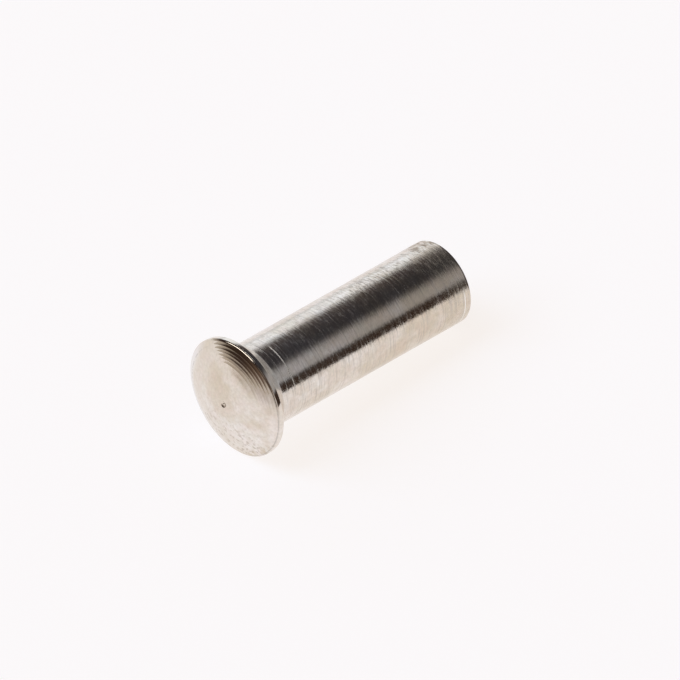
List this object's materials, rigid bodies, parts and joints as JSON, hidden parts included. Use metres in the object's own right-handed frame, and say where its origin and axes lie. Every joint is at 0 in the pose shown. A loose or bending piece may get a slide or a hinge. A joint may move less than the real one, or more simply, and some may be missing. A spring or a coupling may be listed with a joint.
{
  "type": "barrel nut",
  "caption": "One-piece barrel nut: a plain round sleeve with a blind M5 thread in its open end and a low domed head on a short cone.",
  "frame": {"origin": "centre of the sleeve's open end, which the nut stands on", "axes": "+Z along the nut's axis from the open end to the domed head; X and Y are free, because the nut is round"},
  "size_m": [0.01, 0.01, 0.0232],
  "materials": {
    "nickel_plate": "nickel-plated turned steel, satin, with fine turning lines round the axis"
  },
  "bodies": {
    "root": {"barrel_nut": "nickel_plate"}
  },
  "joints": []
}
